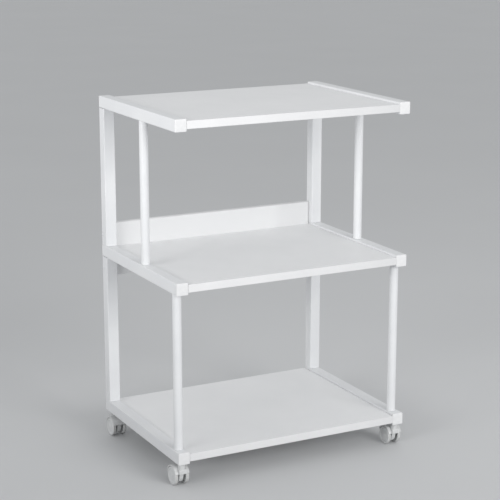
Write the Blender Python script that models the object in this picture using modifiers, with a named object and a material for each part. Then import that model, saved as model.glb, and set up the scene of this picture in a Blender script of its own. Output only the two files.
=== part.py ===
"""Mobile printer stand: two welded tube side frames that carry three shelf boards and a rear panel, on
four swivel casters with twin wheels.

Metres, +Z up. The origin is on the floor under the middle of the stand. The front faces -Y, and left
and right are those of someone who stands in front of it.
"""

import math

import bmesh
import bpy
from mathutils import Matrix

# Overall sizes
WIDTH = 0.640  # over the outer faces of the side frames
DEPTH = 0.460  # over the tube caps
HEIGHT = 0.900  # floor to the top of the top rails
MIDDLE_HEIGHT = 0.512  # floor to the top of the middle rails

# Clearances
GAP = 0.0003  # between pieces that rest on or against each other
RUNNING_GAP = 0.0002  # radial, between a shaft and what turns on it
SIDE_PLAY = 0.0005  # axial, between a turning piece and what holds it

# Square tube of the rails and the rear uprights
TUBE = 0.030
TUBE_WALL = 0.0015
TUBE_CORNER = 0.0025

# Round tube of the front posts
POST_DIAMETER = 0.022
POST_WALL = 0.0012
LOWER_POST_SETBACK = 0.034  # front of the stand to the axis of a lower post
UPPER_POST_SETBACK = 0.214  # front of the stand to the axis of an upper post

# Plastic caps in the ends of the rails
CAP_HEAD = 0.003
CAP_PLUG = 0.006
CAP_PLUG_WALL = 0.0018

# Shelf boards, and the ledges under their sides
BOARD_THICKNESS = 0.019
BOARD_ROUNDING = 0.001
LEDGE_RISE = 0.0057  # underside of a rail up to the top of its ledge
LEDGE_WIDTH = 0.020
LEDGE_LEG = 0.005
LEDGE_THICKNESS = 0.0015
LEDGE_SETBACK = 0.050  # each end of a board to the end of its ledge

# Panel between the rear uprights, behind the middle shelf
PANEL_THICKNESS = 0.015
PANEL_HEIGHT = 0.140
PANEL_RISE = 0.058  # top of the middle rails up to the top of the panel

# Casters
WHEEL_RADIUS = 0.023
TREAD_WIDTH = 0.0085
CASTER_WIDTH = 0.038  # over both wheels
CASTER_TRAIL = 0.018  # swivel axis to the axle, measured along the floor
NECK_ROOM = 0.0098  # top of the hood to the underside of the bottom rails
CASTER_ROOM = 0.0015  # inner end of a cap's plug to the corners of the nut next to it
WHEEL_DISH = 0.0015
WHEEL_RIM = 0.0045
WHEEL_FACE = 0.004  # outer side of a wheel to the end of its blind bore
WHEEL_HUB_RADIUS = 0.0065
WHEEL_ROUNDING = 0.002
AXLE_RADIUS = 0.003
STEM_RADIUS = 0.004
STEM_FLANGE_RADIUS = 0.009
STEM_FLANGE = 0.003
STEM_PIN = 0.020  # underside of the flange to the lower end of the stem
STEM_CHAMFER = 0.0008
STEM_END = 0.002  # how far the thread stands out of its nut
NUT_RADIUS = 0.0075  # to the corners
NUT_HEIGHT = 0.0065

# Caster housing: a hood over both wheels, with a block round the stem, a web between the wheels that
# holds the axle, and a neck
HOOD_GAP = 0.0012  # tread of the wheels to the inside of the hood
HOOD_WALL = 0.003
HOOD_EDGE_RISE = 0.010  # axle up to the lower edge of the hood
BLOCK_FRONT = 0.0105  # swivel axis to the front of the block
BLOCK_DROP = 0.0052  # top of the hood down to the top of the block
BLOCK_CORNER = 0.004
WEB_THICKNESS = 0.011
WEB_CLEARANCE = 0.006  # tread of the wheels in to the edge of the web
NECK_INSET = 0.001  # side of the block in to the side of the neck
BORE_FLOOR = 0.002  # material under the bore for the stem

# Sides of the round shapes
WHEEL_STEPS = 24
POST_STEPS = 24
SHAFT_STEPS = 20
HOOD_STEPS = 14
CORNER_STEPS = 3

# Places worked out from the sizes
HOOD_RADIUS = WHEEL_RADIUS + HOOD_GAP + HOOD_WALL
CASTER_HEIGHT = WHEEL_RADIUS + HOOD_RADIUS + NECK_ROOM
BOTTOM_HEIGHT = CASTER_HEIGHT + TUBE
SHELVES = {"bottom": BOTTOM_HEIGHT, "middle": MIDDLE_HEIGHT, "top": HEIGHT}
SIDES = {"left": -1, "right": 1}
ENDS = {"front": -1, "rear": 1}
RAIL_X = WIDTH / 2 - TUBE / 2
RAIL_LENGTH = DEPTH - 2 * CAP_HEAD - 2 * GAP
INNER_WIDTH = WIDTH - 2 * TUBE
BOARD_DROP = TUBE - LEDGE_RISE - GAP - BOARD_THICKNESS  # top of a rail down to the top of its board
UPRIGHT_Y = DEPTH / 2 - TUBE / 2
PANEL_FRONT_Y = DEPTH / 2 - PANEL_THICKNESS
CASTER_INSET = CAP_HEAD + CAP_PLUG + CASTER_ROOM + NUT_RADIUS
CASTER_Y = DEPTH / 2 - CASTER_INSET
BLOCK_WIDTH = CASTER_WIDTH - 2 * TREAD_WIDTH - 2 * SIDE_PLAY
BLOCK_RISE = HOOD_RADIUS - BLOCK_DROP  # axle up to the top of the block
WITHIN_WALL = HOOD_RADIUS - HOOD_WALL / 2  # where the block and the web end inside the hood
NECK_RADIUS = BLOCK_WIDTH / 2 - NECK_INSET
NECK_TOP = CASTER_HEIGHT - GAP - STEM_FLANGE - SIDE_PLAY
STEM_BOTTOM = CASTER_HEIGHT - GAP - STEM_FLANGE - STEM_PIN
NUT_BOTTOM = CASTER_HEIGHT + TUBE_WALL + GAP
STEM_TOP = NUT_BOTTOM + NUT_HEIGHT + STEM_END

# Turns that lay a shape modelled along Z along another axis
ALONG_Z = Matrix.Identity(4)
ALONG_Y = Matrix.Rotation(math.pi / 2, 4, "X")
ALONG_X = Matrix(((0, 0, 1, 0), (1, 0, 0, 0), (0, 1, 0, 0), (0, 0, 0, 1)))


def clear_scene():
    for obj in list(bpy.data.objects):
        bpy.data.objects.remove(obj, do_unlink=True)


def new_collection(name):
    collection = bpy.data.collections.new(name)
    bpy.context.scene.collection.children.link(collection)
    return collection


def new_material(name, colour, roughness, metallic=0.0):
    material = bpy.data.materials.new(name)
    material.use_nodes = True
    material.diffuse_color = (*colour, 1.0)
    shader = material.node_tree.nodes["Principled BSDF"]
    shader.inputs["Base Color"].default_value = (*colour, 1.0)
    shader.inputs["Roughness"].default_value = roughness
    shader.inputs["Metallic"].default_value = metallic
    return material


# Outlines and meshes


def arc(centre, radius, start, end, steps):
    """Points from angle start to angle end, in radians."""
    turns = [start + (end - start) * i / steps for i in range(steps + 1)]
    return [(centre[0] + radius * math.cos(a), centre[1] + radius * math.sin(a)) for a in turns]


def circle(radius, steps):
    return arc((0, 0), radius, 0, 2 * math.pi, steps)[:-1]


def rounded_square(side, corner):
    """A square about the origin with round corners."""
    reach = side / 2 - corner
    points = []
    for quarter in range(4):
        start = quarter * math.pi / 2
        turn = start + math.pi / 4
        centre = (math.copysign(reach, math.cos(turn)), math.copysign(reach, math.sin(turn)))
        points += arc(centre, corner, start, start + math.pi / 2, CORNER_STEPS)
    return points


def evaluated_mesh(obj):
    """The object's mesh with its modifiers applied; the object is used up."""
    bpy.context.view_layer.update()
    graph = bpy.context.evaluated_depsgraph_get()
    mesh = bpy.data.meshes.new_from_object(obj.evaluated_get(graph))
    bpy.data.objects.remove(obj)
    return mesh


def holder(name, data):
    """An object that holds data while a shape is being made."""
    obj = bpy.data.objects.new(name, data)
    bpy.context.scene.collection.objects.link(obj)
    return obj


def weld(mesh):
    shape = bmesh.new()
    shape.from_mesh(mesh)
    bmesh.ops.remove_doubles(shape, verts=shape.verts, dist=1e-6)
    shape.to_mesh(mesh)
    shape.free()


def smooth(mesh):
    mesh.shade_smooth()
    mesh.set_sharp_from_angle(angle=math.radians(35))
    return mesh


def prism(name, outlines, length, turn=ALONG_Z):
    """The first outline, less the others, extruded by length about the middle."""
    curve = bpy.data.curves.new(name, "CURVE")
    curve.dimensions = "2D"
    curve.fill_mode = "BOTH"
    curve.extrude = length / 2
    for outline in outlines:
        spline = curve.splines.new("POLY")
        spline.points.add(len(outline) - 1)
        for point, (x, y) in zip(spline.points, outline):
            point.co = (x, y, 0, 1)
        spline.use_cyclic_u = True
    mesh = evaluated_mesh(holder(name, curve))
    bpy.data.curves.remove(curve)
    weld(mesh)
    mesh.transform(turn)
    return mesh


def turned(name, profile, steps, turn=ALONG_Z):
    """A solid of revolution about Z. The profile gives (radius, height) down its outer side."""
    mesh = bpy.data.meshes.new(name)
    points = [(radius, 0, height) for radius, height in profile]
    mesh.from_pydata(points, [(i, i + 1) for i in range(len(points) - 1)], [])
    obj = holder(name, mesh)
    screw = obj.modifiers.new("Screw", "SCREW")
    screw.steps = steps
    screw.render_steps = steps
    screw.use_merge_vertices = True
    screw.merge_threshold = 0.00001
    result = evaluated_mesh(obj)
    bpy.data.meshes.remove(mesh)
    result.transform(turn)
    return smooth(result)


def rod(name, radius, low, high, steps, turn=ALONG_Z):
    return turned(name, [(0, high), (radius, high), (radius, low), (0, low)], steps, turn)


def combined(name, mesh, other, operation):
    """The two meshes after a Boolean; both are used up."""
    obj = holder(name, mesh)
    tool = holder(name + "_tool", other)
    boolean = obj.modifiers.new("Boolean", "BOOLEAN")
    boolean.operation = operation
    boolean.solver = "EXACT"
    boolean.object = tool
    result = evaluated_mesh(obj)
    bpy.data.objects.remove(tool)
    bpy.data.meshes.remove(mesh)
    bpy.data.meshes.remove(other)
    return result


def slab(name, size, rounding):
    """A box about the origin with its edges rounded."""
    mesh = bpy.data.meshes.new(name)
    shape = bmesh.new()
    bmesh.ops.create_cube(shape, size=1, matrix=Matrix.Diagonal((*size, 1)))
    shape.to_mesh(mesh)
    shape.free()
    obj = holder(name, mesh)
    bevel = obj.modifiers.new("Bevel", "BEVEL")
    bevel.width = rounding
    bevel.segments = 2
    result = evaluated_mesh(obj)
    bpy.data.meshes.remove(mesh)
    return smooth(result)


def place(name, mesh, material, location, turn=0.0, parent=None):
    """Adds a piece to the stand, turned about the vertical through its origin."""
    if not mesh.materials:
        mesh.materials.append(material)
    obj = bpy.data.objects.new(name, mesh)
    obj.location = location
    obj.rotation_euler = (0, 0, turn)
    obj.parent = parent
    stand.objects.link(obj)
    return obj


# Side frames


def square_tube(name, length, turn=ALONG_Z):
    outer = rounded_square(TUBE, TUBE_CORNER)
    inner = rounded_square(TUBE - 2 * TUBE_WALL, TUBE_CORNER - TUBE_WALL)
    return smooth(prism(name, [outer, inner], length, turn))


def add_stem_cutter(name, location):
    """A cutter for the hole that a caster stem takes through the underside of a rail."""
    mesh = rod(name, STEM_RADIUS + GAP, -2 * TUBE_WALL, 2 * TUBE_WALL, SHAFT_STEPS)
    cutter = bpy.data.objects.new(name, mesh)
    cutter.location = location
    cutter.hide_render = True
    cutter.display_type = "WIRE"
    cutters.objects.link(cutter)
    return cutter


def add_rails():
    for shelf, top in SHELVES.items():
        mesh = square_tube("rail_tube", RAIL_LENGTH, ALONG_Y)
        for side, sign in SIDES.items():
            rail = place(f"{shelf}_rail_{side}", mesh, paint, (sign * RAIL_X, 0, top - TUBE / 2))
            if shelf != "bottom":
                continue
            for end, way in ENDS.items():
                location = (sign * RAIL_X, way * CASTER_Y, CASTER_HEIGHT)
                hole = rail.modifiers.new(f"{end}_stem_hole", "BOOLEAN")
                hole.operation = "DIFFERENCE"
                hole.solver = "EXACT"
                hole.object = add_stem_cutter(f"stem_hole_{end}_{side}", location)


def add_uprights_and_posts():
    """The rear uprights and the front posts, each standing between two rails."""
    spans = {
        "lower": (BOTTOM_HEIGHT + GAP, MIDDLE_HEIGHT - TUBE - GAP, LOWER_POST_SETBACK),
        "upper": (MIDDLE_HEIGHT + GAP, HEIGHT - TUBE - GAP, UPPER_POST_SETBACK),
    }
    radius = POST_DIAMETER / 2
    for level, (low, high, setback) in spans.items():
        upright = square_tube("upright_tube", high - low)
        rings = [circle(radius, POST_STEPS), circle(radius - POST_WALL, POST_STEPS)]
        post = smooth(prism("post_tube", rings, high - low))
        middle = (low + high) / 2
        for side, sign in SIDES.items():
            x = sign * RAIL_X
            place(f"{level}_upright_{side}", upright, paint, (x, UPRIGHT_Y, middle))
            place(f"{level}_post_{side}", post, paint, (x, setback - DEPTH / 2, middle))


def cap_mesh():
    """A cap whose head faces -Y, with its origin in the middle of the head's inner side."""
    bore = TUBE - 2 * TUBE_WALL
    corner = TUBE_CORNER - TUBE_WALL
    plug_side = bore - 2 * GAP
    hollow_side = plug_side - 2 * CAP_PLUG_WALL
    head = prism("cap_head", [rounded_square(TUBE, TUBE_CORNER)], CAP_HEAD, ALONG_Y)
    head.transform(Matrix.Translation((0, -CAP_HEAD / 2, 0)))
    walls = [rounded_square(plug_side, corner), rounded_square(hollow_side, corner)]
    overlap = CAP_HEAD / 2
    plug = prism("cap_plug", walls, CAP_PLUG + overlap, ALONG_Y)
    plug.transform(Matrix.Translation((0, (CAP_PLUG - overlap) / 2, 0)))
    return smooth(combined("tube_cap", head, plug, "UNION"))


def add_caps():
    mesh = cap_mesh()
    seat_y = DEPTH / 2 - CAP_HEAD
    for shelf, top in SHELVES.items():
        for side, sign in SIDES.items():
            for end, way in ENDS.items():
                turn = 0.0 if end == "front" else math.pi
                location = (sign * RAIL_X, way * seat_y, top - TUBE / 2)
                place(f"{shelf}_cap_{end}_{side}", mesh, cap_plastic, location, turn)


# Shelves and rear panel


def add_boards():
    """The boards lie between the rails; the middle one stops in front of the rear panel."""
    front = -DEPTH / 2
    for shelf, top in SHELVES.items():
        back = PANEL_FRONT_Y - GAP if shelf == "middle" else DEPTH / 2
        size = (INNER_WIDTH - 2 * GAP, back - front, BOARD_THICKNESS)
        mesh = slab(f"{shelf}_shelf", size, BOARD_ROUNDING)
        middle = top - BOARD_DROP - BOARD_THICKNESS / 2
        place(f"{shelf}_shelf", mesh, laminate, (0, (front + back) / 2, middle))
        add_ledges(shelf, front + LEDGE_SETBACK, back - LEDGE_SETBACK, top)


def add_ledges(shelf, front, back, rail_top):
    """Angle strips on the inner sides of the rails, under the board."""
    width, leg, thick = LEDGE_WIDTH, LEDGE_LEG, LEDGE_THICKNESS
    outline = [(0, 0), (0, -leg), (thick, -leg), (thick, -thick), (width, -thick), (width, 0)]
    mesh = prism(f"{shelf}_ledge", [outline], back - front, ALONG_Y)
    top = rail_top - BOARD_DROP - BOARD_THICKNESS - GAP
    edge_x = INNER_WIDTH / 2 - GAP
    for side, sign in SIDES.items():
        turn = 0.0 if side == "left" else math.pi
        location = (sign * edge_x, (front + back) / 2, top)
        place(f"{shelf}_ledge_{side}", mesh, paint, location, turn)


def add_rear_panel():
    size = (INNER_WIDTH - 2 * GAP, PANEL_THICKNESS, PANEL_HEIGHT)
    mesh = slab("rear_panel", size, BOARD_ROUNDING)
    middle = MIDDLE_HEIGHT + PANEL_RISE - PANEL_HEIGHT / 2
    place("rear_panel", mesh, laminate, (0, PANEL_FRONT_Y + PANEL_THICKNESS / 2, middle))


# Casters, modelled with the swivel axis on Z, the floor at Z = 0 and the axle behind it on +Y


def hood_outline():
    """Side view of the hood: an arch round the axle."""
    centre = (CASTER_TRAIL, WHEEL_RADIUS)
    end = math.asin(HOOD_EDGE_RISE / HOOD_RADIUS)
    outside = arc(centre, HOOD_RADIUS, end, math.pi - end, HOOD_STEPS)
    return outside + arc(centre, HOOD_RADIUS - HOOD_WALL, math.pi - end, end, HOOD_STEPS)


def block_outline():
    """Side view of the block round the stem: upright in front, flat on top, and into the arch."""
    centre = (CASTER_TRAIL, WHEEL_RADIUS)
    upper_end = math.pi - math.asin(BLOCK_RISE / WITHIN_WALL)
    lower_end = math.pi - math.asin(HOOD_EDGE_RISE / WITHIN_WALL)
    corner_centre = (BLOCK_CORNER - BLOCK_FRONT, WHEEL_RADIUS + BLOCK_RISE - BLOCK_CORNER)
    points = [(-BLOCK_FRONT, WHEEL_RADIUS + HOOD_EDGE_RISE)]
    points += arc(corner_centre, BLOCK_CORNER, math.pi, math.pi / 2, CORNER_STEPS)
    return points + arc(centre, WITHIN_WALL, upper_end, lower_end, 6)


def web_outline():
    """Side view of the web: it fills the arch and ends round, a little inside the treads."""
    centre = (CASTER_TRAIL, WHEEL_RADIUS)
    end = math.asin((HOOD_EDGE_RISE + HOOD_WALL) / WITHIN_WALL)
    points = arc(centre, WITHIN_WALL, end, math.pi - end, HOOD_STEPS)
    return points + arc(centre, WHEEL_RADIUS - WEB_CLEARANCE, math.pi, 2 * math.pi, 12)


def housing_mesh():
    """The housing in one piece, with a blind bore for the stem and a bore for the axle."""
    bore_foot = STEM_BOTTOM - SIDE_PLAY
    body = prism("hood", [hood_outline()], CASTER_WIDTH, ALONG_X)
    block = prism("block", [block_outline()], BLOCK_WIDTH, ALONG_X)
    web = prism("web", [web_outline()], WEB_THICKNESS, ALONG_X)
    neck = rod("neck", NECK_RADIUS, bore_foot - BORE_FLOOR, NECK_TOP, POST_STEPS)
    bore = rod("stem_bore", STEM_RADIUS + RUNNING_GAP, bore_foot, CASTER_HEIGHT, SHAFT_STEPS)
    axle_bore = rod("axle_bore", AXLE_RADIUS + GAP, -BLOCK_WIDTH, BLOCK_WIDTH, SHAFT_STEPS, ALONG_X)
    axle_bore.transform(Matrix.Translation((0, CASTER_TRAIL, WHEEL_RADIUS)))
    for piece in (block, web, neck):
        body = combined("caster_housing", body, piece, "UNION")
    for cavity in (bore, axle_bore):
        body = combined("caster_housing", body, cavity, "DIFFERENCE")
    return smooth(body)


def stem_mesh():
    """A threaded stem, its flange under the rail, and the pin that the housing turns on."""
    flange_top = CASTER_HEIGHT - GAP
    flange_foot = flange_top - STEM_FLANGE
    profile = [
        (0, STEM_TOP),
        (STEM_RADIUS - STEM_CHAMFER, STEM_TOP),
        (STEM_RADIUS, STEM_TOP - STEM_CHAMFER),
        (STEM_RADIUS, flange_top),
        (STEM_FLANGE_RADIUS, flange_top),
        (STEM_FLANGE_RADIUS, flange_foot),
        (STEM_RADIUS, flange_foot),
        (STEM_RADIUS, STEM_BOTTOM + STEM_CHAMFER),
        (STEM_RADIUS - STEM_CHAMFER, STEM_BOTTOM),
        (0, STEM_BOTTOM),
    ]
    return turned("caster_stem", profile, SHAFT_STEPS)


def wheel_mesh():
    """A wheel on the +X side of its caster: dished outside, a hub inside and flat at the bottom."""
    outer = CASTER_WIDTH / 2
    tread_inner = outer - TREAD_WIDTH
    hub_inner = WEB_THICKNESS / 2 + SIDE_PLAY
    plate_inner = outer - WHEEL_RIM
    bore_end = outer - WHEEL_FACE
    bore_radius = AXLE_RADIUS + RUNNING_GAP
    radius = WHEEL_RADIUS / math.cos(math.pi / WHEEL_STEPS)
    profile = [
        (0, outer - WHEEL_DISH),
        (radius - WHEEL_RIM - WHEEL_DISH, outer - WHEEL_DISH),
        (radius - WHEEL_RIM, outer),
        (radius - WHEEL_ROUNDING, outer),
        (radius, outer - WHEEL_ROUNDING),
        (radius, tread_inner),
        (radius - WHEEL_RIM, tread_inner),
        (radius - WHEEL_RIM, plate_inner),
        (WHEEL_HUB_RADIUS, plate_inner),
        (WHEEL_HUB_RADIUS, hub_inner),
        (bore_radius, hub_inner),
        (bore_radius, bore_end),
        (0, bore_end),
    ]
    flat_down = Matrix.Rotation(math.pi / WHEEL_STEPS - math.pi / 2, 4, "Z")
    return turned("caster_wheel", profile, WHEEL_STEPS, ALONG_X @ flat_down)


def add_casters():
    """Each caster turns on its own empty; the front ones trail backwards, the rear ones forwards."""
    housing = housing_mesh()
    stem = stem_mesh()
    wheel = wheel_mesh()
    axle_end = CASTER_WIDTH / 2 - WHEEL_FACE - GAP
    axle = rod("caster_axle", AXLE_RADIUS, -axle_end, axle_end, SHAFT_STEPS, ALONG_X)
    hexagon, hole = circle(NUT_RADIUS, 6), circle(STEM_RADIUS + GAP, SHAFT_STEPS)
    nut = prism("stem_nut", [hexagon, hole], NUT_HEIGHT)
    for end, way in ENDS.items():
        for side, sign in SIDES.items():
            corner = f"{end}_{side}"
            foot = (sign * RAIL_X, way * CASTER_Y, 0)
            axis = bpy.data.objects.new(f"{corner}_caster_axis", None)
            axis.location = foot
            axis.rotation_euler = (0, 0, 0.0 if end == "front" else math.pi)
            stand.objects.link(axis)
            place(f"{corner}_caster_stem", stem, steel, foot)
            place(f"{corner}_stem_nut", nut, steel, (*foot[:2], NUT_BOTTOM + NUT_HEIGHT / 2))
            centre = (0, CASTER_TRAIL, WHEEL_RADIUS)
            place(f"{corner}_caster_housing", housing, caster_plastic, (0, 0, 0), 0.0, axis)
            place(f"{corner}_caster_axle", axle, steel, centre, 0.0, axis)
            for wheel_side, facing in SIDES.items():
                turn = 0.0 if facing == -way else math.pi
                place(f"{corner}_wheel_{wheel_side}", wheel, wheel_plastic, centre, turn, axis)


clear_scene()
stand = new_collection("mobile_printer_stand")
cutters = new_collection("cutters")
paint = new_material("white_powder_coat", (0.86, 0.86, 0.87), 0.45)
laminate = new_material("white_laminate", (0.84, 0.84, 0.85), 0.5)
cap_plastic = new_material("white_cap_plastic", (0.85, 0.85, 0.86), 0.5)
caster_plastic = new_material("caster_housing_plastic", (0.72, 0.73, 0.73), 0.45)
wheel_plastic = new_material("caster_wheel_plastic", (0.66, 0.67, 0.67), 0.5)
steel = new_material("zinc_plated_steel", (0.62, 0.63, 0.64), 0.35, 1.0)
add_rails()
add_uprights_and_posts()
add_caps()
add_boards()
add_rear_panel()
add_casters()
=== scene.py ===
"""Looks of the mobile printer stand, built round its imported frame.

Metres, +Z up, the front faces -Y. Every piece is placed from the frame's own boxes.
"""

import math

import bmesh
import bpy
from mathutils import Matrix, Vector


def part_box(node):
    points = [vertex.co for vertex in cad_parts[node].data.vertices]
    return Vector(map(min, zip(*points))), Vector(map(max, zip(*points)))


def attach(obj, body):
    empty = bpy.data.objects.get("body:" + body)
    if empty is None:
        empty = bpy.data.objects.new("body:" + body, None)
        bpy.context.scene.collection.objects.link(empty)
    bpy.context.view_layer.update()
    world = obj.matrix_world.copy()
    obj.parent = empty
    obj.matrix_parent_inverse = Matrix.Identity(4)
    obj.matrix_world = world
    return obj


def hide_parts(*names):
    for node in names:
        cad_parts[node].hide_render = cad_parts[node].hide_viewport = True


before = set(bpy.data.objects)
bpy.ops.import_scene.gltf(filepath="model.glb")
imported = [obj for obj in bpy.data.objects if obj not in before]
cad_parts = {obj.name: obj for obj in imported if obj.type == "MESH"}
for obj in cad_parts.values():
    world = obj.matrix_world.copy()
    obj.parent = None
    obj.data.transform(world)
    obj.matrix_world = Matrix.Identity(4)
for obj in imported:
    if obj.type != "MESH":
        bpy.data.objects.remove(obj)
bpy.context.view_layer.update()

SHELVES = ("bottom", "middle", "top")
LEVELS = ("lower", "upper")
SIDES = {"left": -1, "right": 1}
ENDS = {"front": -1, "rear": 1}

# Camera, at the height of a standing person's chest, to the left of the stand
CAMERA_PLACE = (-1.7585, -3.3515, 1.4207)
CAMERA_YAW = 0.48166
CAMERA_PITCH = 0.23608
CAMERA_LENS = 109.36
SENSOR = 36.0

# Sizes that the frame's boxes don't show: tubes, welds and caps
DEBURR = 0.0002  # rounding of a cut tube end
TUBE_WALL = 0.0015
TUBE_CORNER = 0.0025
POST_WALL = 0.0012
WELD = 0.0016  # leg of a weld bead
WELD_RIPPLE = 0.07  # how much the leg swells and shrinks, as a share of it
CAP_HEAD = 0.003
CAP_CROWN = 0.0004  # how far the middle of the head stands proud
CAP_EDGE = 0.001
CAP_LEAST_CORNER = 0.0004
CAP_PLUG = 0.006
CAP_PLUG_GAP = 0.0018  # outer side of the tube in to the plug
CAP_PLUG_WALL = 0.0018
CAP_LEAD_IN = 0.0006  # chamfer at the plug's end
CAP_RIBS = (0.0012, 0.0034)  # from the head to the ribs that grip the tube
CAP_RIB_HEIGHT = 0.0002
CAP_BREAK = 0.0003  # chamfers of the ribs and of the edge between head and plug
CAP_HOLLOW = 0.001  # how far the plug's hollow reaches into the head

# Boards, ledges and screws
BAND = 0.0008  # thickness of a board's edge band
BAND_EDGE = 0.0007
BAND_END = 0.0003  # length of the chamfer at a band's ends
BAND_FLAT = 0.001  # from the rounding to the points that keep a band's face flat in shading
BOARD_CHAMFER = 0.00012
BOARD_SIDE = 0.0014  # rounding along a board's sides
BOARD_CORNER = 0.0004
BOARD_FLAT = 0.003  # from a board's faces to the rings that keep its sides flat in shading
LEDGE_THICKNESS = 0.0015
LEDGE_LEG = 0.005
LEDGE_BEND = 0.0018  # outer radius of the bend
LEDGE_SCREWS = 3
LEDGE_SCREW_INSET = 0.03  # from a ledge's end to its first screw
PANEL_SCREW_DROP = 0.03  # below the panel's top
PANEL_SCREW_RISE = 0.02  # above the panel's foot
SCREW_HEAD_RADIUS = 0.0036
SCREW_HEAD = 0.0022
SCREW_RADIUS = 0.0016
SCREW_LENGTH = 0.014  # below its head

# Casters
STEM_RADIUS = 0.004
STEM_HOLE_RADIUS = 0.0043  # in the bottom rail
STEM_BORE_RADIUS = 0.0042  # in the housing
STEM_END_GAP = 0.0005
FLANGE_RADIUS = 0.009
FLANGE_THICKNESS = 0.003
FLANGE_GAP = 0.0003  # between flange and rail
THREAD_PITCH = 0.00125
THREAD_DEPTH = 0.0006
THREAD_RELIEF = 0.0006  # plain stretch between flange and thread
THREAD_RUNOUT = 0.001  # height over which the thread fades at its top
THREAD_CHAMFER = 0.0004
AXLE_RADIUS = 0.003
AXLE_BORE_RADIUS = 0.0033
AXLE_EDGE = 0.0004
NUT_RADIUS = 0.0075  # over the corners
NUT_HOLE_RADIUS = 0.0041
NUT_CHAMFER = 0.0006
TREAD = 0.0085
RIM = 0.0045  # from the tread in to the face
HUB_FOOT = 0.006  # from the caster's middle to the hub
WHEEL_RIBS = 8
RIB_THICKNESS = 0.0011
RIB_HEIGHT = 0.0032
RIB_FOOT = 0.0061  # from the axle to a rib's start
RIB_SINK = 0.0001  # how far a rib runs into the rim
RIB_DEPTH = 0.006  # from the wheel's face to a rib's middle
HOOD_GAP = 0.0012
HOOD_WALL = 0.003
HOOD_EDGE_RISE = 0.010  # axle up to the lower edge of the hood
HOOD_ROUNDING = 0.0011
BLOCK_HALF = 0.010
BLOCK_FRONT = 0.0105
BLOCK_DROP = 0.0052
BLOCK_CORNER = 0.004
BLOCK_ROUNDING = 0.0012
WEB_HALF = 0.0055
WEB_CLEARANCE = 0.006
WEB_ROUNDING = 0.0008
NECK_RADIUS = 0.009
NECK_GROOVE = 0.0004  # depth of the groove below the neck's collar
NECK_COLLAR = 0.003
NECK_EDGE = 0.0006
NECK_SLOPE = 0.0016  # height of the slope from the groove out to the block
NECK_ROUNDING = 0.0004
BORE_FLOOR = 0.002
CUTTER_SPARE = 0.003  # how far a cutter stands past what it cuts

# Studio
FLOOR_RADIUS = 60
FLOOR_THICKNESS = 0.02

# Turns that lay a shape modelled along Z along another axis
ALONG_Z = Matrix.Identity(4)
ALONG_Y = Matrix.Rotation(math.pi / 2, 4, "X")
ALONG_X = Matrix(((0, 0, 1, 0), (1, 0, 0, 0), (0, 1, 0, 0), (0, 0, 0, 1)))


# Outlines


def arc(centre, radius, start, end, steps):
    """Points from angle start to angle end, in radians."""
    turns = [start + (end - start) * i / steps for i in range(steps + 1)]
    return [(centre[0] + radius * math.cos(a), centre[1] + radius * math.sin(a)) for a in turns]


def circle(radius, steps):
    """A regular outline about the origin, or the origin alone where the radius is 0."""
    return arc((0, 0), radius, 0, 2 * math.pi, steps)[:-1] if radius > 0 else [(0, 0)]


def rounded_rectangle(width, height, corner, steps=6, support=0.0005):
    """An outline about the origin. Points next to each corner keep the flats flat in shading."""
    points = []
    for quarter in range(4):
        start, end = quarter * math.pi / 2, (quarter + 1) * math.pi / 2
        turn = (start + end) / 2
        centre = (
            math.copysign(width / 2 - corner, math.cos(turn)),
            math.copysign(height / 2 - corner, math.sin(turn)),
        )
        curve = arc(centre, corner, start, end, steps)
        (x0, y0), (x1, y1) = curve[0], curve[-1]
        points.append((x0 + support * math.sin(start), y0 - support * math.cos(start)))
        points += curve
        points.append((x1 - support * math.sin(end), y1 + support * math.cos(end)))
    return points


def filleted(points, radius, steps=4):
    """The open outline with its inner corners rounded, by at most the given radius."""
    rounded = [points[0]]
    for before, corner, after in zip(points, points[1:], points[2:]):
        corner, before, after = Vector(corner), Vector(before), Vector(after)
        back, onward = before - corner, after - corner
        reach = min(radius, back.length * 0.45, onward.length * 0.45)
        start, end = corner + back.normalized() * reach, corner + onward.normalized() * reach
        for i in range(steps + 1):
            t = i / steps
            rounded.append(tuple(start * (1 - t) ** 2 + corner * 2 * t * (1 - t) + end * t ** 2))
    return rounded + [points[-1]]


# Meshes


def shaded(mesh, angle=35):
    """The mesh shaded smooth, but for its edges sharper than that angle."""
    mesh.shade_smooth()
    mesh.set_sharp_from_angle(angle=math.radians(angle))
    return mesh


def lofted(name, rings, endless=False, turn=ALONG_Z, angle=35):
    """A closed mesh through rings of points. A ring of one point is a tip."""
    shape = bmesh.new()
    loops = [[shape.verts.new(point) for point in ring] for ring in rings]
    pairs = list(zip(loops, loops[1:]))
    if endless:
        pairs.append((loops[-1], loops[0]))
    else:
        for loop in (loops[0], loops[-1]):
            if len(loop) > 2:
                shape.faces.new(loop)
    for low, high in pairs:
        count = max(len(low), len(high))
        for i in range(count):
            j = (i + 1) % count
            corners = [low[i % len(low)], low[j % len(low)], high[j % len(high)], high[i % len(high)]]
            shape.faces.new(list(dict.fromkeys(corners)))
    bmesh.ops.recalc_face_normals(shape, faces=shape.faces)
    mesh = bpy.data.meshes.new(name)
    shape.to_mesh(mesh)
    shape.free()
    mesh.transform(turn)
    return shaded(mesh, angle)


def stacked(name, layers, endless=False, turn=ALONG_Z):
    """A mesh through outlines, each given with its height."""
    rings = [[(x, y, height) for x, y in outline] for outline, height in layers]
    return lofted(name, rings, endless, turn)


def turned(name, profile, steps, turn=ALONG_Z):
    """A solid of revolution about Z from (radius, height) points."""
    layers = [(circle(radius, steps), height) for radius, height in profile]
    return stacked(name, layers, False, turn)


def cutter(name, radius, foot, top, turn=ALONG_Z):
    """A plain cylinder about Z that cuts a round hole."""
    return turned(name, [(0, foot), (radius, foot), (radius, top), (0, top)], 40, turn)


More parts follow.
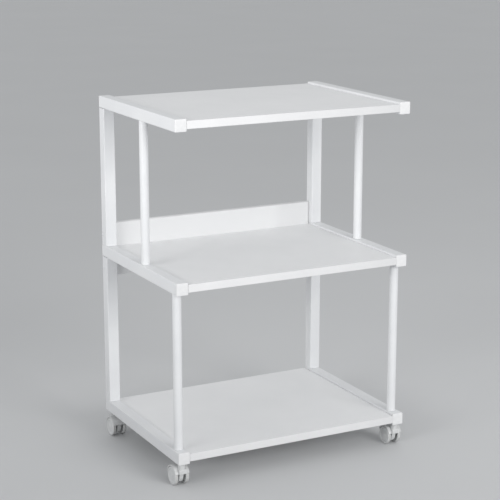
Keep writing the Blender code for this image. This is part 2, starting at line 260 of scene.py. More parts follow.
def tube(name, outline, wall, length, turn=ALONG_Z):
    """A tube; outline(inset) gives its cross-section that far inside its outer side."""
    end = length / 2
    path = [(DEBURR, -end), (0, DEBURR - end), (0, 3 * DEBURR - end)]
    path += [(0, end - 3 * DEBURR), (0, end - DEBURR), (DEBURR, end)]
    path += [(wall - DEBURR, end), (wall, end - DEBURR), (wall, end - 3 * DEBURR)]
    path += [(wall, 3 * DEBURR - end), (wall, DEBURR - end), (wall - DEBURR, -end)]
    return stacked(name, [(outline(inset), height) for inset, height in path], True, turn)


def evaluated_mesh(obj):
    """The object's mesh with its modifiers applied; the object is used up."""
    bpy.context.view_layer.update()
    graph = bpy.context.evaluated_depsgraph_get()
    mesh = bpy.data.meshes.new_from_object(obj.evaluated_get(graph))
    bpy.data.objects.remove(obj)
    return mesh


def holder(name, data):
    """A new object in the scene for a mesh, a light or a camera."""
    obj = bpy.data.objects.new(name, data)
    bpy.context.scene.collection.objects.link(obj)
    return obj


def combined(mesh, other, operation):
    """The two meshes after a Boolean; both are used up."""
    obj, tool = holder(mesh.name, mesh), holder(other.name, other)
    boolean = obj.modifiers.new("Boolean", "BOOLEAN")
    boolean.operation = operation
    boolean.solver = "EXACT"
    boolean.object = tool
    result = evaluated_mesh(obj)
    result.name = mesh.name
    bpy.data.objects.remove(tool)
    bpy.data.meshes.remove(mesh)
    bpy.data.meshes.remove(other)
    return shaded(result)


def prism(name, outline, length, rounding, turn=ALONG_Z, segments=3):
    """The outline extruded about the middle, with its end edges rounded."""
    rings = [[(x, y, height) for x, y in outline] for height in (-length / 2, length / 2)]
    obj = holder(name, lofted(name, rings))
    bevel = obj.modifiers.new("Bevel", "BEVEL")
    bevel.width = rounding
    bevel.segments = segments
    bevel.limit_method = "ANGLE"
    bevel.angle_limit = math.radians(40)
    mesh = evaluated_mesh(obj)
    mesh.transform(turn)
    return shaded(mesh)


def moved(mesh, *offset):
    """The mesh shifted along X, Y and Z."""
    mesh.transform(Matrix.Translation(offset))
    return mesh


def piece(name, mesh, material, place, body="stand_frame", node=None, turn=0.0):
    """Adds a piece that rides on a body and takes its slot from its material."""
    if not mesh.materials:
        mesh.materials.append(material)
    obj = holder(name, mesh)
    obj.location = place
    obj.rotation_euler = (0, 0, turn)
    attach(obj, body)
    if node:
        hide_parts(node)


def middle_of(node):
    """The centre of a CAD node's box."""
    low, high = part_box(node)
    return (low + high) / 2


def extent_of(node):
    """The size of a CAD node's box."""
    low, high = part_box(node)
    return high - low


# Materials: every pattern is in metres on the piece itself


def new_material(name, slot, roughness, metallic=0.0):
    """A material, its node tree and its shader. The slot is the name of this finish."""
    material = bpy.data.materials.new(name)
    material["slot"] = slot
    material.use_nodes = True
    shader = material.node_tree.nodes["Principled BSDF"]
    shader.inputs["Roughness"].default_value = roughness
    shader.inputs["Metallic"].default_value = metallic
    return material, material.node_tree, shader


def add_node(tree, kind, **inputs):
    """A new node whose inputs are linked to sockets or set to values; _ stands for a space."""
    made = tree.nodes.new(kind)
    for name, value in inputs.items():
        socket = made.inputs[name.replace("_", " ")]
        if isinstance(value, bpy.types.NodeSocket):
            tree.links.new(value, socket)
        else:
            socket.default_value = value
    return made


def spot_of(tree, scale=(1, 1, 1)):
    """Coordinates on the piece in metres, each multiplied by its axis's scale."""
    source = tree.nodes.new("ShaderNodeTexCoord").outputs["Object"]
    return add_node(tree, "ShaderNodeMapping", Vector=source, Scale=scale).outputs["Vector"]


def noise(tree, spot, size, detail=2.0):
    """Noise whose blotches are about that many metres wide."""
    return add_node(tree, "ShaderNodeTexNoise", Vector=spot, Scale=1 / size, Detail=detail).outputs["Fac"]


def spread(tree, value, low, high, start=0.3, end=0.7):
    """Value's range from start to end mapped onto low to high."""
    made = add_node(tree, "ShaderNodeMapRange", Value=value)
    made.inputs["From Min"].default_value = start
    made.inputs["From Max"].default_value = end
    made.inputs["To Min"].default_value = low
    made.inputs["To Max"].default_value = high
    return made.outputs["Result"]


def blended(tree, factor, first, second):
    """Between two colours, which may be sockets or plain colours."""
    made = tree.nodes.new("ShaderNodeMix")
    made.data_type = "RGBA"
    tree.links.new(factor, made.inputs["Factor"])
    sockets = [s for s in made.inputs if s.type == "RGBA"]
    for socket, value in zip(sockets, (first, second)):
        if isinstance(value, bpy.types.NodeSocket):
            tree.links.new(value, socket)
        else:
            socket.default_value = (*value, 1)
    return [s for s in made.outputs if s.type == "RGBA"][0]


def clouded(tree, spot, size, tones, detail=2.0):
    """A colour that drifts between two tones in soft blotches of that size."""
    return blended(tree, spread(tree, noise(tree, spot, size, detail), 0, 1), *tones)


def bumped(tree, height, depth, under=None):
    """A bump of that many metres for a height from 0 to 1, over another bump."""
    made = add_node(tree, "ShaderNodeBump", Height=height, Distance=depth)
    if under:
        tree.links.new(under, made.inputs["Normal"])
    return made.outputs["Normal"]


def wire(tree, shader, colour, roughness, normal):
    """Links colour, roughness and normal to the shader. One that is None keeps its constant."""
    links = {"Base Color": colour, "Roughness": roughness, "Normal": normal}
    for name, socket in links.items():
        if socket:
            tree.links.new(socket, shader.inputs[name])


def powder_coat():
    """White powder coat with its orange peel and a fine grain."""
    material, tree, shader = new_material("powder_coat", "frame_paint", 0.4)
    spot = spot_of(tree)
    colour = clouded(tree, spot, 0.12, ((0.735, 0.742, 0.755), (0.77, 0.777, 0.785)))
    rough = spread(tree, noise(tree, spot, 0.03, 4), 0.34, 0.48)
    peel = bumped(tree, noise(tree, spot, 0.0028), 0.00005)
    grain = bumped(tree, noise(tree, spot, 0.0005), 0.000006, peel)
    wire(tree, shader, colour, rough, grain)
    return material


def board_laminate(name, dark, light):
    """Melamine with a fine pearl grain and faint smudges in its gloss."""
    material, tree, shader = new_material(name, "board_laminate", 0.45)
    spot = spot_of(tree)
    speck = spread(tree, noise(tree, spot, 0.0015, 3), 0, 1, 0.35, 0.65)
    tone = clouded(tree, spot, 0.16, (dark, light))
    pearl_tone = [value + 0.02 for value in light]
    colour = blended(tree, spread(tree, speck, 0, 0.25, 0, 1), tone, pearl_tone)
    rough = spread(tree, noise(tree, spot, 0.05, 5), 0.38, 0.52)
    pearl = bumped(tree, noise(tree, spot, 0.0009, 3), 0.00003)
    wire(tree, shader, colour, rough, pearl)
    return material


def shelf_melamine():
    """White."""
    return board_laminate("shelf_melamine", (0.80, 0.803, 0.808), (0.83, 0.832, 0.836))


def shaded_panel_melamine():
    """A shade greyer than the shelves: painted shade, the same white melamine darkened to hold back the
    light that falls on the upright panel.
    """
    return board_laminate("shaded_panel_melamine", (0.715, 0.718, 0.723), (0.745, 0.747, 0.751))


def edge_band():
    """Plastic edge band, smoother than the boards, with fine lines along its length."""
    material, tree, shader = new_material("edge_band", "board_laminate", 0.35)
    lines = noise(tree, spot_of(tree, (0.02, 1, 1)), 0.0006, 3)
    colour = clouded(tree, spot_of(tree), 0.09, ((0.735, 0.735, 0.74), (0.765, 0.765, 0.768)))
    rough = spread(tree, lines, 0.30, 0.42)
    wire(tree, shader, colour, rough, bumped(tree, lines, 0.000012))
    return material


def moulded(name, slot, tones, rough_low, rough_high):
    """Moulded plastic with a spark-eroded grain and the faint clouds of its flow."""
    material, tree, shader = new_material(name, slot, (rough_low + rough_high) / 2)
    spot = spot_of(tree)
    colour = clouded(tree, spot, 0.011, tones, 3)
    rough = spread(tree, noise(tree, spot, 0.006, 4), rough_low, rough_high)
    wire(tree, shader, colour, rough, bumped(tree, noise(tree, spot, 0.0007), 0.00002))
    return material


def cap_moulding():
    """White plastic of the tube caps."""
    tones = (0.745, 0.745, 0.75), (0.785, 0.785, 0.787)
    return moulded("cap_moulding_plastic", "tube_cap_plastic", tones, 0.40, 0.52)


def housing_moulding():
    """Pale grey plastic of the casters' housings."""
    tones = (0.60, 0.605, 0.605), (0.655, 0.66, 0.66)
    return moulded("housing_plastic", "caster_plastic", tones, 0.36, 0.50)


def wheel_moulding(radius):
    """Wheel plastic: clean on its sides, scuffed and darker round the tread."""
    material, tree, shader = new_material("wheel_moulding_plastic", "wheel_plastic", 0.45)
    spot = spot_of(tree)
    from_axle = add_node(tree, "ShaderNodeVectorMath", Vector=spot_of(tree, (0, 1, 1)))
    from_axle.operation = "LENGTH"
    tread = spread(tree, from_axle.outputs["Value"], 0, 1, radius - 0.0008, radius)
    scuff = add_node(tree, "ShaderNodeMath", Value=tread)
    scuff.operation = "MULTIPLY"
    tree.links.new(spread(tree, noise(tree, spot, 0.004, 5), 0.25, 0.85), scuff.inputs[1])
    clean = clouded(tree, spot, 0.012, ((0.63, 0.64, 0.64), (0.68, 0.685, 0.685)), 3)
    colour = blended(tree, scuff.outputs["Value"], clean, (0.42, 0.415, 0.40))
    rough = spread(tree, scuff.outputs["Value"], 0.42, 0.65, 0, 1)
    wire(tree, shader, colour, rough, bumped(tree, noise(tree, spot, 0.0008, 3), 0.00002))
    return material


def zinc_steel():
    """Zinc-plated steel with a faint spangle."""
    material, tree, shader = new_material("zinc_plate", "zinc_steel", 0.35, 1.0)
    spot = spot_of(tree)
    colour = clouded(tree, spot, 0.003, ((0.56, 0.57, 0.59), (0.68, 0.69, 0.70)), 4)
    rough = spread(tree, noise(tree, spot, 0.002, 4), 0.26, 0.42)
    wire(tree, shader, colour, rough, bumped(tree, noise(tree, spot, 0.0004), 0.000008))
    return material


# The wheels stand on the floor
WHEEL_RADIUS = middle_of("front_left_caster_axle").z

paint = powder_coat()
shelf_laminate = shelf_melamine()
# the rear panel's melamine is darkened with painted shade
shaded_panel_laminate = shaded_panel_melamine()
band = edge_band()
cap_plastic = cap_moulding()
caster_plastic = housing_moulding()
wheel_plastic = wheel_moulding(WHEEL_RADIUS)
steel = zinc_steel()


# Side frames


def square_outline(size):
    """The cross-section of a square tube, as tube() wants it."""
    return lambda inset: rounded_rectangle(size - 2 * inset, size - 2 * inset, TUBE_CORNER - inset)


def round_outline(size):
    """The same for a round tube."""
    return lambda inset: circle(size / 2 - inset, 64)


def drilled_for_stems(mesh, side):
    """The bottom rail's mesh with a hole for each of its two caster stems."""
    rail = f"bottom_rail_{side}"
    for end in ENDS:
        along = middle_of(f"{end}_{side}_caster_stem").y - middle_of(rail).y
        hole = cutter("stem_hole", STEM_HOLE_RADIUS, -CUTTER_SPARE, TUBE_WALL + CUTTER_SPARE)
        mesh = combined(mesh, moved(hole, 0, along, -extent_of(rail).z / 2), "DIFFERENCE")
    return mesh


def add_rails():
    """Square tubes from front to rear. The bottom ones have a hole for each caster stem."""
    for shelf in SHELVES:
        for side in SIDES:
            name = f"{shelf}_rail_{side}"
            size = extent_of(name)
            mesh = tube(name, square_outline(size.x), TUBE_WALL, size.y, ALONG_Y)
            if shelf == "bottom":
                mesh = drilled_for_stems(mesh, side)
            piece(name + "_tube", mesh, paint, middle_of(name), node=name)


def add_uprights_and_posts():
    """Square uprights at the rear and round posts in front, each between two rails."""
    kinds = {"upright": (square_outline, TUBE_WALL), "post": (round_outline, POST_WALL)}
    for level in LEVELS:
        for side in SIDES:
            for kind, (outline, wall) in kinds.items():
                name = f"{level}_{kind}_{side}"
                size = extent_of(name)
                mesh = tube(name, outline(size.x), wall, size.z)
                piece(name + "_tube", mesh, paint, middle_of(name), node=name)


def bead_section(reach):
    """Cross-section of a hollow fillet weld in the corner between a wall and a surface below it."""
    radius = reach * 1.02  # a little over the leg, so that the curve meets both surfaces
    hollow = arc((reach, reach), radius, -math.pi / 2, -math.pi, 6)
    return [(0, 0)] + [(max(x, 0), max(y, 0)) for x, y in hollow]


def ring_bead(name, radius):
    """A weld bead round a post's foot, with its ripples."""
    rings = []
    steps, ripples = 180, 45
    for i in range(steps):
        angle = 2 * math.pi * i / steps
        reach = WELD * (1 + WELD_RIPPLE * math.sin(ripples * angle))
        way = (math.cos(angle), math.sin(angle))
        rings.append([((radius + x) * way[0], (radius + x) * way[1], y) for x, y in bead_section(reach)])
    return lofted(name, rings, True)


def straight_bead(name, length):
    """A weld bead along X at the foot of an upright's front, tapered at its ends."""
    rings = []
    steps, ripple = 60, 1.7
    for i in range(steps + 1):
        along = i / steps - 0.5
        taper = math.sqrt(max(1 - (2 * along) ** 8, 0.01))
        reach = WELD * taper * (1 + WELD_RIPPLE * math.sin(i * ripple))
        rings.append([(along * length, -x, y) for x, y in bead_section(reach)])
    return lofted(name, rings)


def weld_mesh(label, kind, width):
    """The bead at the foot of a post or an upright of that width."""
    if kind == "post":
        return ring_bead(label, width / 2)
    return straight_bead(label, width - 2 * TUBE_CORNER)


def add_welds():
    """Beads where posts and uprights meet the rails below and above them."""
    upside_down = Matrix.Diagonal((1, 1, -1, 1))
    for level in LEVELS:
        for side in SIDES:
            for kind in ("post", "upright"):
                name = f"{level}_{kind}_{side}"
                low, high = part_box(name)
                centre = middle_of(name)
                front = centre.y if kind == "post" else low.y
                for where, height in (("foot", low.z), ("head", high.z)):
                    label = f"{name}_{where}_weld"
                    mesh = weld_mesh(label, kind, high.x - low.x)
                    if where == "head":
                        mesh.transform(upside_down)
                        mesh.flip_normals()
                    piece(label, mesh, paint, (centre.x, front, height))


def cap_mesh(size):
    """A tube cap about the inner side of its head, which faces +Z: crowned in front, with a hollow plug."""
    half = size / 2
    edge_height = CAP_HEAD - CAP_CROWN

    def layer(inset, height):
        side = size - 2 * inset
        return rounded_rectangle(side, side, max(TUBE_CORNER - inset, CAP_LEAST_CORNER), 6, 0.0002), height

    insets = [half * share for share in (0.9, 0.7, 0.5, 0.3, 0.15)]
    layers = [layer(inset, edge_height + CAP_CROWN * (1 - (1 - inset / half) ** 2)) for inset in insets]
    for i in range(6):
        angle = math.pi / 2 * (1 - i / 5)
        inset = CAP_EDGE * (1 - math.cos(angle))
        layers.append(layer(inset, edge_height - CAP_EDGE * (1 - math.sin(angle))))
    layers += [layer(0, CAP_BREAK + 0.0001), layer(CAP_BREAK, 0)]
    plug, hollow = CAP_PLUG_GAP, CAP_PLUG_GAP + CAP_PLUG_WALL
    layers += [layer(plug + CAP_BREAK, 0), layer(plug, -CAP_BREAK)]
    for start in CAP_RIBS:
        crest = plug - CAP_RIB_HEIGHT
        layers += [layer(plug, -start), layer(crest, -start - CAP_BREAK)]
        layers += [layer(crest, -start - 2 * CAP_BREAK), layer(plug, -start - 3 * CAP_BREAK)]
    layers += [layer(plug, CAP_LEAD_IN - CAP_PLUG), layer(plug + CAP_LEAD_IN, -CAP_PLUG)]
    chamfer = CAP_HOLLOW / 2
    layers += [layer(hollow, -CAP_PLUG), layer(hollow, chamfer), layer(hollow + chamfer, CAP_HOLLOW)]
    return stacked("tube_cap", layers)


def add_caps():
    """One moulding for every tube end, turned about for the rear."""
    moulding = cap_mesh(extent_of("top_cap_front_left").x)
    moulding.transform(ALONG_Y)
    for shelf in SHELVES:
        for side in SIDES:
            for end, way in ENDS.items():
                name = f"{shelf}_cap_{end}_{side}"
                low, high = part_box(name)
                centre = middle_of(name)
                seat = low.y + CAP_HEAD if way < 0 else high.y - CAP_HEAD
                turn = 0.0 if way < 0 else math.pi
                place = (centre.x, seat, centre.z)
                piece(name + "_moulding", moulding, cap_plastic, place, node=name, turn=turn)


# Shelf boards and rear panel, modelled lying flat with their bands at the front and rear


def board_core(name, size):
    """The board between its two bands: rounded along its sides, just broken at its ends."""
    width, depth, half = size.x, size.y - 2 * BAND, size.z / 2

    def layer(inset, height):
        end = min(inset, BOARD_CHAMFER)
        return rounded_rectangle(width - 2 * inset, depth - 2 * end, BOARD_CORNER, 2, 0.002), height

    lower = [layer(BOARD_SIDE * 3, -half)]  # keeps the broad face flat in shading
    for i in range(6):
        angle = math.pi / 2 * i / 5
        inset, rise = BOARD_SIDE * (1 - math.sin(angle)), BOARD_SIDE * (1 - math.cos(angle))
        lower.append(layer(inset, rise - half))
    upper = [(outline, -height) for outline, height in reversed(lower)]
    return stacked(name, lower + [layer(0, BOARD_FLAT - half), layer(0, half - BOARD_FLAT)] + upper)


def band_mesh(name, width, thick):
    """An edge band along X whose outer side faces -Y, about the middle of its inner side."""
    half, inner = thick / 2, BOARD_CHAMFER
    flat = half - BAND_EDGE  # height of the face up to its rounding
    low = arc((BAND_EDGE - BAND, -flat), BAND_EDGE, -math.pi / 2, -math.pi, 5)
    high = arc((BAND_EDGE - BAND, flat), BAND_EDGE, math.pi, math.pi / 2, 5)
    section = [(0, inner - half), (-inner * 0.5, -half)] + low
    section += [(-BAND, BAND_FLAT - flat), (-BAND, flat - BAND_FLAT)]
    section += high + [(-inner * 0.5, half), (0, half - inner)]
    end, inset = width / 2, BAND_END / 2
    rings = []
    for x, shrink in ((-end, inset), (BAND_END - end, 0), (end - BAND_END, 0), (end, inset)):
        rings.append([(x, y * (1 - shrink / BAND), z * (1 - shrink / half)) for y, z in section])
    return lofted(name, rings)


def add_board(name, material, turn=Matrix.Identity(4)):
    """A board or panel in place of its node; turn stands it up."""
    centre = middle_of(name)
    box = extent_of(name)
    size = Vector((abs(v) for v in turn.inverted().to_3x3() @ box))
    core = board_core(name + "_core", size)
    core.transform(turn)
    piece(name + "_core", core, material, centre, node=name)
    for end, way in ENDS.items():
        mesh = band_mesh(f"{name}_band_{end}", size.x, size.z)
        if way > 0:
            mesh.transform(Matrix.Rotation(math.pi, 4, "Z"))
        moved(mesh, 0, way * (size.y / 2 - BAND), 0)
        mesh.transform(turn)
        piece(f"{name}_band_{end}", mesh, band, centre)


def ledge_outline(width):
    """An angle strip's cross-section about the corner of its bend: flange to +X, leg down."""
    t, quarter = LEDGE_THICKNESS, math.pi / 2
    bend = (LEDGE_BEND, -LEDGE_BEND)
    rounded = 0.001  # length of the rounded edges, and a little more
    outline = arc(bend, LEDGE_BEND, 2 * quarter, quarter, 5)
    outline += [(width - rounded, 0)]
    outline += arc((width - t / 2, -t / 2), t / 2, quarter, -quarter, 6)
    outline += [(width - rounded, -t), (LEDGE_BEND, -t)]
    outline += arc(bend, LEDGE_BEND - t, quarter, 2 * quarter, 3)
    outline += [(t, rounded - LEDGE_LEG)]
    outline += arc((t / 2, t / 2 - LEDGE_LEG), t / 2, 0, -2 * quarter, 6)
    return list(dict.fromkeys(outline))


def add_ledges():
    """Angle strips under the boards' sides, bent from sheet."""
    for shelf in SHELVES:
        for side, sign in SIDES.items():
            name = f"{shelf}_ledge_{side}"
            low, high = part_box(name)
            mesh = prism(name, ledge_outline(high.x - low.x), high.y - low.y, 0.0003, ALONG_Y, 2)
            place = (low.x if sign < 0 else high.x, (low.y + high.y) / 2, high.z)
            turn = 0.0 if sign < 0 else math.pi
            piece(name + "_strip", mesh, paint, place, node=name, turn=turn)


def cross_recess(width, depth):
    """A cutter for a cross-head recess that opens at Z = 0 and narrows upwards."""
    arm_width, tip_share = width * 0.26, 0.45
    arms = []
    for across, along in ((width, arm_width), (arm_width, width)):
        rings = []
        for share, height in ((1.0, -0.001), (1.0, 0.0), (tip_share, depth)):
            x, y = across / 2 * share, along / 2 * share
            rings.append([(x, y, height), (-x, y, height), (-x, -y, height), (x, -y, height)])
        arms.append(lofted("arm", rings))
    return combined(arms[0], arms[1], "UNION")


def screw_mesh():
    """A pan-head wood screw, head down, about the underside of its head."""
    radius, head = SCREW_HEAD_RADIUS, SCREW_HEAD
    profile = [(0, -head), (radius * 0.55, -head * 0.98), (radius * 0.85, -head * 0.82)]
    profile += [(radius * 0.97, -head * 0.5), (radius, -head * 0.2), (radius * 0.97, 0)]
    profile += [(SCREW_RADIUS, 0), (SCREW_RADIUS, SCREW_LENGTH * 0.75), (0, SCREW_LENGTH)]
    body = turned("screw", filleted(profile, 0.0006), 48)
    recess = moved(cross_recess(radius * 1.15, head * 0.75), 0, 0, -head)
    return combined(body, recess, "DIFFERENCE")


def add_ledge_screws():
    """Screws up through each ledge into its board."""
    mesh = screw_mesh()
    for shelf in SHELVES:
        for side in SIDES:
            low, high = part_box(f"{shelf}_ledge_{side}")
            first, last = low.y + LEDGE_SCREW_INSET, high.y - LEDGE_SCREW_INSET
            for i in range(LEDGE_SCREWS):
                along = first + (last - first) * i / (LEDGE_SCREWS - 1)
                place = ((low.x + high.x) / 2, along, high.z - LEDGE_THICKNESS)
                piece(f"{shelf}_ledge_{side}_screw_{i + 1}", mesh, steel, place)


def add_panel_screws():
    """A screw through each lower and upper upright into the ends of the rear panel."""
    mesh = screw_mesh()
    mesh.transform(Matrix.Rotation(math.pi / 2, 4, "Y"))
    low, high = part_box("rear_panel")
    for side, sign in SIDES.items():
        for level in LEVELS:
            upright_low, upright_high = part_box(f"{level}_upright_{side}")
            z = high.z - PANEL_SCREW_DROP if level == "upper" else low.z + PANEL_SCREW_RISE
            x = upright_low.x if sign < 0 else upright_high.x
            turn = 0.0 if sign < 0 else math.pi
            place = (x, (low.y + high.y) / 2, z)
            piece(f"panel_screw_{level}_{side}", mesh, paint, place, turn=turn)


# Casters, modelled with the swivel axis on Z and the floor at Z = 0, trailing towards +Y


def hood_radius(wheel_radius):
    """Outer radius of the arch over a wheel."""
    return wheel_radius + HOOD_GAP + HOOD_WALL


def hood_mesh(trail, radius, width):
    """An arch over both wheels, its walls rounded along both sides and at the lower ends."""
    centre = (trail, radius)
    outer = hood_radius(radius)
    inner = outer - HOOD_WALL
    end = math.asin(HOOD_EDGE_RISE / outer)
    outline = arc(centre, outer, end, math.pi - end, 48) + arc(centre, inner, math.pi - end, end, 48)
    return prism("hood", outline, width, HOOD_ROUNDING, ALONG_X, 4)


def block_mesh(trail, radius):
    """The block round the stem: upright in front, flat on top, running into the arch."""
    within = hood_radius(radius) - HOOD_WALL / 2
    rise, corner = hood_radius(radius) - BLOCK_DROP, BLOCK_CORNER
    upper_end = math.pi - math.asin(rise / within)
    lower_end = math.pi - math.asin(HOOD_EDGE_RISE / within)
    outline = [(-BLOCK_FRONT, radius + HOOD_EDGE_RISE)]
    outline += arc((corner - BLOCK_FRONT, radius + rise - corner), corner, math.pi, math.pi / 2, 10)
    outline += arc((trail, radius), within, upper_end, lower_end, 12)
    return prism("block", outline, 2 * BLOCK_HALF, BLOCK_ROUNDING, ALONG_X, 4)


def web_mesh(trail, radius):
    """A plate between the wheels that fills the arch and ends round, inside the treads."""
    centre = (trail, radius)
    within = hood_radius(radius) - HOOD_WALL / 2
    end = math.asin((HOOD_EDGE_RISE + HOOD_WALL) / within)
    outline = arc(centre, within, end, math.pi - end, 40)
    outline += arc(centre, radius - WEB_CLEARANCE, math.pi, 2 * math.pi, 40)
    return prism("web", outline, 2 * WEB_HALF, WEB_ROUNDING, ALONG_X, 4)


def neck_mesh(foot, shoulder, top):
    """The neck round the stem, with a collar on top and a groove below it down to the block."""
    wide, narrow = NECK_RADIUS, NECK_RADIUS - NECK_GROOVE
    profile = [(0, top), (wide - NECK_EDGE, top), (wide, top - NECK_EDGE)]
    profile += [(wide, top - NECK_COLLAR + NECK_EDGE), (narrow, top - NECK_COLLAR)]
    profile += [(narrow, shoulder + NECK_SLOPE), (wide, shoulder), (wide, foot), (0, foot)]
    return turned("neck", filleted(profile, NECK_ROUNDING, 3), 64)


def housing_mesh(corner):
    """A caster's housing in one moulding, with bores for the stem and the axle."""
    low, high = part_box(f"{corner}_caster_housing")
    stem = middle_of(f"{corner}_caster_stem")
    axle = middle_of(f"{corner}_caster_axle")
    trail, radius = abs(axle.y - stem.y), axle.z
    bore_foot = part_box(f"{corner}_caster_stem")[0].z - STEM_END_GAP
    shoulder = radius + hood_radius(radius) - BLOCK_DROP
    mesh = hood_mesh(trail, radius, high.x - low.x)
    parts = [block_mesh(trail, radius), web_mesh(trail, radius)]
    parts.append(neck_mesh(bore_foot - BORE_FLOOR, shoulder, high.z))
    for part in parts:
        mesh = combined(mesh, part, "UNION")
    bore = cutter("stem_bore", STEM_BORE_RADIUS, bore_foot, high.z + CUTTER_SPARE)
    mesh = combined(mesh, bore, "DIFFERENCE")
    bore = cutter("axle_bore", AXLE_BORE_RADIUS, -2 * BLOCK_HALF, 2 * BLOCK_HALF, ALONG_X)
    return combined(mesh, moved(bore, 0, trail, radius), "DIFFERENCE")


def wheel_profile(radius, outer):
    """A wheel's section from its face round the tread to its hub: (radius, distance from the middle)."""
    inner, rim, hub_top = outer - TREAD, radius - RIM, outer - 0.0045
    axle_cover = [(0, outer - 0.0012), (0.0046, outer - 0.0012)]
    dish = [(0.0052, outer - 0.0020), (rim - 0.0046, outer - 0.0024), (rim - 0.0014, outer - 0.0020)]
    lip = [(rim - 0.0004, outer - 0.0004), (rim + 0.0002, outer), (rim + 0.0020, outer)]
    tread = [(radius - 0.0007, outer - 0.0008), (radius, outer - 0.0026), (radius, inner + 0.0018)]
    rim_inside = [(radius - 0.0008, inner), (rim + 0.0005, inner), (rim, inner + 0.0006)]
    hub = [(rim - 0.0002, hub_top), (0.0065, hub_top), (0.0062, HUB_FOOT + 0.0004)]
    hub += [(0.0058, HUB_FOOT), (0.0034, HUB_FOOT), (0.0032, HUB_FOOT + 0.0002)]
    bore = [(0.0032, outer - 0.004), (0, outer - 0.004)]
    return axle_cover + dish + lip + tread + rim_inside + hub + bore


def rib_mesh(rim, height):
    """A rib along X from the hub to the rim, at that distance from the caster's middle."""
    length = rim + RIB_SINK - RIB_FOOT
    mesh = bpy.data.meshes.new("rib")
    shape = bmesh.new()
    size = Matrix.Diagonal((length, RIB_THICKNESS, RIB_HEIGHT, 1))
    bmesh.ops.create_cube(shape, size=1, matrix=size)
    shape.to_mesh(mesh)
    shape.free()
    return moved(mesh, RIB_FOOT + length / 2, 0, height)


def wheel_mesh(radius, outer):
    """A wheel on the +X side of its caster, about its axle: a dished face with a hub, and ribs inside."""
    mesh = turned("caster_wheel", filleted(wheel_profile(radius, outer), 0.0008, 3), 96)
    for i in range(WHEEL_RIBS):
        rib = rib_mesh(radius - RIM, outer - RIB_DEPTH)
        rib.transform(Matrix.Rotation(2 * math.pi * (i + 0.5) / WHEEL_RIBS, 4, "Z"))
        mesh = combined(mesh, rib, "UNION")
    mesh.transform(ALONG_X)
    return mesh


def thread_rings(foot, top, steps):
    """Rings up a thread that fades out below the stem's top."""
    rings = []
    count = 60
    for i in range(count + 1):
        height = foot + (top - THREAD_CHAMFER - foot) * i / count
        points = []
        for k in range(steps):
            turn = k / steps
            phase = ((height - foot) / THREAD_PITCH - turn) % 1
            fade = min(1, (top - height) / THREAD_RUNOUT)
            radius = STEM_RADIUS - THREAD_DEPTH * (1 - fade * (1 - abs(2 * phase - 1)))
            angle = 2 * math.pi * turn
            points.append((radius * math.cos(angle), radius * math.sin(angle), height))
        rings.append(points)
    return rings


def stem_mesh(corner):
    """A threaded stem with its flange and the plain pin below, about the floor."""
    low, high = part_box(f"{corner}_caster_stem")
    flange_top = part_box("bottom_rail_left")[0].z - FLANGE_GAP
    flange_foot = flange_top - FLANGE_THICKNESS
    steps, root = 36, STEM_RADIUS - THREAD_DEPTH

    def ring(radius, height):
        return [(x, y, height) for x, y in circle(radius, steps)]

    pin = [(STEM_RADIUS - 0.0008, low.z), (STEM_RADIUS, low.z + 0.0008), (STEM_RADIUS, flange_foot)]
    flange = [(FLANGE_RADIUS - 0.0007, flange_foot), (FLANGE_RADIUS, flange_foot + 0.0005)]
    flange += [(FLANGE_RADIUS, flange_top - 0.0005), (FLANGE_RADIUS - 0.0004, flange_top)]
    plain = pin + flange + [(root, flange_top)]
    rings = [[(0, 0, low.z)]] + [ring(radius, height) for radius, height in plain]
    rings += thread_rings(flange_top + THREAD_RELIEF, high.z, steps)
    rings += [ring(STEM_RADIUS - THREAD_DEPTH * 1.6, high.z), [(0, 0, high.z)]]
    return lofted("caster_stem", rings, angle=50)


def axle_mesh(length):
    """A plain pin with chamfered ends."""
    half, edge = length / 2, AXLE_EDGE
    profile = [(0, -half), (AXLE_RADIUS - edge, -half), (AXLE_RADIUS, edge - half)]
    profile += [(AXLE_RADIUS, half - edge), (AXLE_RADIUS - edge, half), (0, half)]
    return turned("caster_axle", profile, 48, ALONG_X)


def nut_mesh(height):
    """A hexagon nut with its corners chamfered."""
    nut = prism("stem_nut", circle(NUT_RADIUS, 6), height, 0.0001)
    half, narrow, wide = height / 2, NUT_RADIUS - 0.0011, NUT_RADIUS + 0.0003
    dome = [(0, -height), (narrow, -height), (narrow, -half), (wide, NUT_CHAMFER - half)]
    dome += [(wide, half - NUT_CHAMFER), (narrow, half), (narrow, height), (0, height)]
    nut = combined(nut, turned("chamfers", dome, 48), "INTERSECT")
    return combined(nut, cutter("hole", NUT_HOLE_RADIUS, -height, height), "DIFFERENCE")


def add_casters():
    """Four casters from shared mouldings; the rear ones trail forwards."""
    first = "front_left"
    housing, stem = housing_mesh(first), stem_mesh(first)
    wheel = wheel_mesh(WHEEL_RADIUS, extent_of(f"{first}_caster_housing").x / 2)
    axle = axle_mesh(extent_of(f"{first}_caster_axle").x)
    nut = nut_mesh(extent_of(f"{first}_stem_nut").z)
    for end, way in ENDS.items():
        for side in SIDES:
            corner = f"{end}_{side}"
            stem_node, nut_node = f"{corner}_caster_stem", f"{corner}_stem_nut"
            housing_node, axle_node = f"{corner}_caster_housing", f"{corner}_caster_axle"
            body = f"{corner}_caster"
            turn = 0.0 if way < 0 else math.pi
            place = middle_of(stem_node)
            place.z = 0
            axle_place = middle_of(axle_node)
            piece(f"{corner}_stem", stem, steel, place, node=stem_node)
            piece(f"{corner}_nut", nut, steel, middle_of(nut_node), node=nut_node)
            piece(f"{corner}_housing", housing, caster_plastic, place, body, housing_node, turn)
            piece(f"{corner}_axle", axle, steel, axle_place, body, axle_node)
            for wheel_side, facing in SIDES.items():
                name = f"{corner}_wheel_{wheel_side}"
                angle = 0.0 if facing > 0 else math.pi
                piece(name + "_moulding", wheel, wheel_plastic, axle_place, name, name, angle)


# Studio


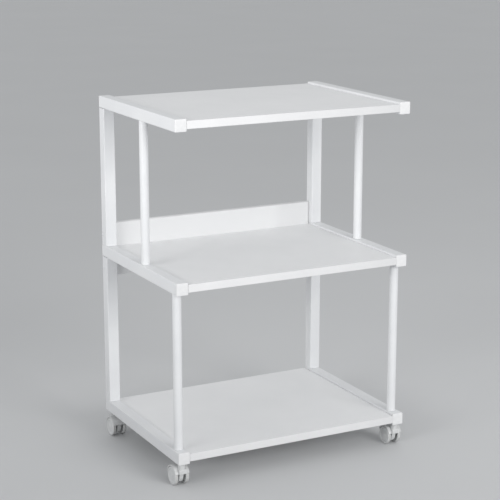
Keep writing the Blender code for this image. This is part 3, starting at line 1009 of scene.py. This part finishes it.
def add_floor():
    """A pale matt floor, far larger than any view takes in."""
    profile = [(0, -FLOOR_THICKNESS), (FLOOR_RADIUS, -FLOOR_THICKNESS), (FLOOR_RADIUS, 0), (0, 0)]
    mesh = turned("studio_floor", profile, 96)
    obj = holder("studio_floor", mesh)
    material, tree, shader = new_material("floor_paint", "", 0.75)
    spot = spot_of(tree)
    colour = blended(tree, noise(tree, spot, 0.7, 3), (0.61, 0.615, 0.62), (0.64, 0.645, 0.65))
    wire(tree, shader, colour, None, bumped(tree, noise(tree, spot, 0.004), 0.0001))
    mesh.materials.append(material)


def add_soft_light(name, place, aim, size, power, beam):
    """A rectangular light at a place, aimed at a point; beam is its opening in degrees."""
    light = bpy.data.lights.new(name, "AREA")
    light.shape = "RECTANGLE"
    light.size, light.size_y = size
    light.energy = power
    light.spread = math.radians(beam)
    obj = holder(name, light)
    obj.location = place
    obj.rotation_euler = (Vector(aim) - Vector(place)).to_track_quat("-Z", "Y").to_euler()


def add_light():
    """An even room, a large soft light in front on the right and a smaller one on the left."""
    scene = bpy.context.scene
    scene.view_settings.view_transform = "Standard"
    world = bpy.data.worlds.new("studio")
    world.use_nodes = True
    background = world.node_tree.nodes["Background"]
    background.inputs["Color"].default_value = (0.97, 0.985, 1.0, 1)
    background.inputs["Strength"].default_value = 0.63
    scene.world = world
    front, left = (1.2, -4.4, 1.9), (-2.6, -1.0, 1.35)
    add_soft_light("front_light", front, aim=(0, 0, 0.7), size=(2.4, 1.8), power=26, beam=90)
    add_soft_light("left_light", left, aim=(0, 0, 1.0), size=(1.6, 0.9), power=5.2, beam=52)


def add_camera():
    """The main view: from the front left, looking a little down."""
    data = bpy.data.cameras.new("camera")
    data.lens = CAMERA_LENS
    data.sensor_width = SENSOR
    data.clip_end = 200
    camera = holder("camera", data)
    camera.location = CAMERA_PLACE
    camera.rotation_euler = (math.pi / 2 - CAMERA_PITCH, 0, -CAMERA_YAW)
    bpy.context.scene.camera = camera


add_rails()
add_uprights_and_posts()
add_welds()
add_caps()
for board in ("bottom_shelf", "middle_shelf", "top_shelf"):
    add_board(board, shelf_laminate)
add_board("rear_panel", shaded_panel_laminate, Matrix.Rotation(math.pi / 2, 4, "X"))
add_ledges()
add_ledge_screws()
add_panel_screws()
add_casters()
add_floor()
add_light()
add_camera()
